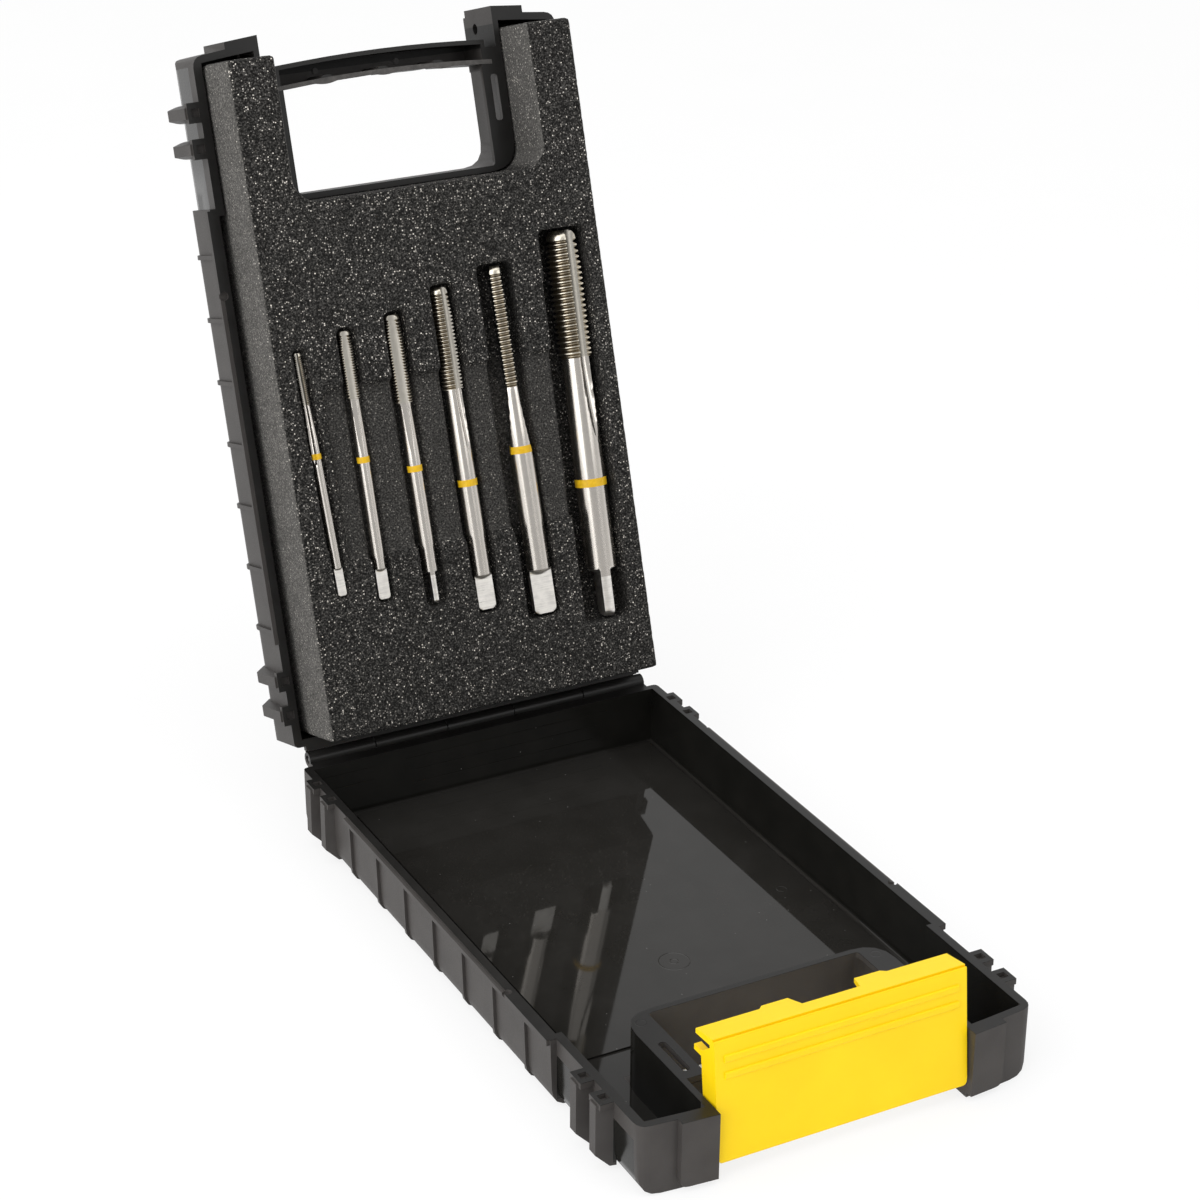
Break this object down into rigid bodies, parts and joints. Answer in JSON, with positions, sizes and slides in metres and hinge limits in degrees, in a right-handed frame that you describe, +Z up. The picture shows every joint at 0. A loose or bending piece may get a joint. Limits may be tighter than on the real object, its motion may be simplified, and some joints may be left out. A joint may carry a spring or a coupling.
{
  "type": "tap storage case",
  "caption": "Hinged plastic carry case standing open, with a foam insert that holds screw-cutting taps, a carry bar and a swinging front latch.",
  "frame": {"origin": "middle of the underside of the lower shell, on the surface that the case stands on", "axes": "+X across the case to the latch's right as seen from the front, +Y towards the hinge, +Z up"},
  "size_m": [0.1146, 0.2708, 0.2042],
  "materials": {
    "black_plastic": "moulded black plastic, lightly textured outside and glossy inside",
    "yellow_plastic": "moulded yellow plastic, satin",
    "grey_foam": "open-cell charcoal foam, speckled",
    "tap_steel": "ground tool steel with a painted yellow ring",
    "steel_pin": "plain steel wire"
  },
  "bodies": {
    "base": {"lower_shell": "black_plastic", "hinge_pin": "steel_pin"},
    "latch": {"latch": "yellow_plastic"},
    "lid": {"upper_shell": "black_plastic", "foam_insert": "grey_foam"},
    "tap_1": {"tap_1": "tap_steel"},
    "tap_2": {"tap_2": "tap_steel"},
    "tap_3": {"tap_3": "tap_steel"},
    "tap_4": {"tap_4": "tap_steel"},
    "tap_5": {"tap_5": "tap_steel"},
    "tap_6": {"tap_6": "tap_steel"}
  },
  "joints": [
    {"name": "lid_hinge", "type": "hinge", "parent": "base", "child": "lid", "pos_m": [0, 0.0968, 0.01915], "axis": [-1, 0, 0], "range_deg": [-107.65, 0]},
    {"name": "latch_pivot", "type": "hinge", "parent": "base", "child": "latch", "pos_m": [0, -0.092, 0.007], "axis": [1, 0, 0], "range_deg": [0, 95]},
    {"name": "tap_1_slide", "type": "slide", "parent": "lid", "child": "tap_1", "axis": [0, -0.9529, 0.3032], "range_m": [0, 0.06]},
    {"name": "tap_2_slide", "type": "slide", "parent": "lid", "child": "tap_2", "axis": [0, -0.9529, 0.3032], "range_m": [0, 0.06]},
    {"name": "tap_3_slide", "type": "slide", "parent": "lid", "child": "tap_3", "axis": [0, -0.9529, 0.3032], "range_m": [0, 0.06]},
    {"name": "tap_4_slide", "type": "slide", "parent": "lid", "child": "tap_4", "axis": [0, -0.9529, 0.3032], "range_m": [0, 0.06]},
    {"name": "tap_5_slide", "type": "slide", "parent": "lid", "child": "tap_5", "axis": [0, -0.9529, 0.3032], "range_m": [0, 0.06]},
    {"name": "tap_6_slide", "type": "slide", "parent": "lid", "child": "tap_6", "axis": [0, -0.9529, 0.3032], "range_m": [0, 0.06]}
  ]
}
